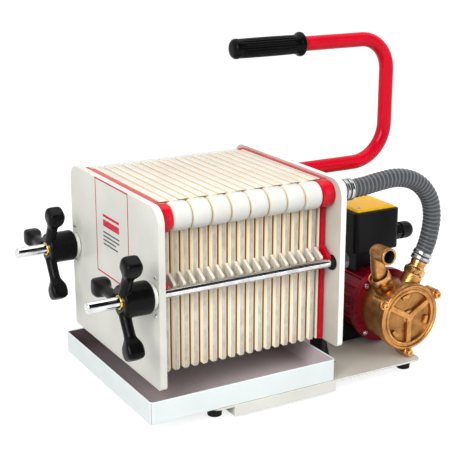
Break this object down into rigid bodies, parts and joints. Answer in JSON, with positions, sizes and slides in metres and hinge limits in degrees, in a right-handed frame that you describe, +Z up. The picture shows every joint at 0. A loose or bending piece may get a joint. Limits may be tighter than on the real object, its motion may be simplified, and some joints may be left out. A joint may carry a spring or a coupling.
{
  "type": "plate filter press",
  "caption": "Bench plate filter press: a pack of square filter plates clamped by two rods with three armed knobs, over a drip tray, with an electric pump and a hose.",
  "frame": {"origin": "on the ground at the centre of the machine's footprint (its box without the hose)", "axes": "+X along the press from the clamping knobs to the pump, +Z up, -Y is the side that the pump cover faces"},
  "size_m": [0.6176, 0.3986, 0.5265],
  "materials": {
    "painted_off_white": "powder coated sheet",
    "tray_white": "moulded, semi gloss",
    "plate_cream": "moulded food grade plastic",
    "sheet_cellulose": "pressed cellulose",
    "head_red": "moulded, semi gloss",
    "rod_steel": "bright drawn steel",
    "fastener_steel": "zinc plated",
    "knob_black": "moulded nylon",
    "insert_brass": "turned",
    "bracket_black": "satin paint",
    "handle_red": "gloss paint",
    "rubber_black": "moulded rubber",
    "hose_grey": "spiral reinforced, translucent",
    "port_white": "moulded",
    "pump_bronze": "cast and turned bronze",
    "motor_red": "painted casting",
    "box_black": "moulded",
    "lid_yellow": "moulded"
  },
  "bodies": {
    "frame": {"base_plate": "painted_off_white", "base_feet": "rubber_black", "rear_brackets": "bracket_black", "rear_plate": "painted_off_white", "rear_red_plate": "head_red", "filter_sheets": "sheet_cellulose", "tie_rod_near": "rod_steel", "tie_rod_far": "rod_steel", "rod_bushes": "rubber_black", "rod_nuts": "fastener_steel", "carry_handle": "handle_red", "handle_grip": "rubber_black", "end_spacer": "plate_cream", "hose_port": "port_white", "outlet_spigot": "port_white", "hose": "hose_grey", "hose_clamps": "fastener_steel", "pump_body": "pump_bronze", "pump_cover": "pump_bronze", "pump_bolts": "pump_bronze", "hose_nozzle": "pump_bronze", "inlet_elbow": "pump_bronze", "motor_body": "motor_red", "fan_cover": "motor_red", "motor_foot": "rubber_black", "terminal_box": "box_black", "box_lid": "lid_yellow", "cable_gland": "box_black", "filter_plate_01": "plate_cream", "filter_plate_02": "plate_cream", "filter_plate_03": "plate_cream", "filter_plate_04": "plate_cream", "filter_plate_05": "plate_cream", "filter_plate_06": "plate_cream", "filter_plate_07": "plate_cream", "filter_plate_08": "plate_cream", "filter_plate_09": "plate_cream", "filter_plate_10": "plate_cream", "filter_plate_11": "plate_cream", "filter_plate_12": "plate_cream", "filter_plate_13": "plate_cream", "filter_plate_14": "plate_cream", "filter_plate_15": "plate_cream", "filter_plate_16": "plate_cream", "filter_plate_17": "plate_cream"},
    "press_head": {"front_red_plate": "head_red", "front_pressure_plate": "painted_off_white", "front_plate_screws": "fastener_steel"},
    "near_knob": {"knob_near": "knob_black", "knob_insert_near": "insert_brass"},
    "far_knob": {"knob_far": "knob_black", "knob_insert_far": "insert_brass"},
    "tray": {"drip_tray": "tray_white"}
  },
  "joints": [
    {"name": "press_head_slide", "type": "slide", "parent": "frame", "child": "press_head", "axis": [-1, 0, 0], "range_m": [0, 0.04]},
    {"name": "near_knob_spin", "type": "hinge", "parent": "press_head", "child": "near_knob", "pos_m": [-0.24215, -0.15011, 0.2053], "axis": [-1, 0, 0], "continuous": true},
    {"name": "far_knob_spin", "type": "hinge", "parent": "press_head", "child": "far_knob", "pos_m": [-0.24215, 0.11929, 0.2053], "axis": [-1, 0, 0], "continuous": true},
    {"name": "drip_tray_slide", "type": "slide", "parent": "frame", "child": "tray", "axis": [-1, 0, 0], "range_m": [0, 0.15]}
  ]
}
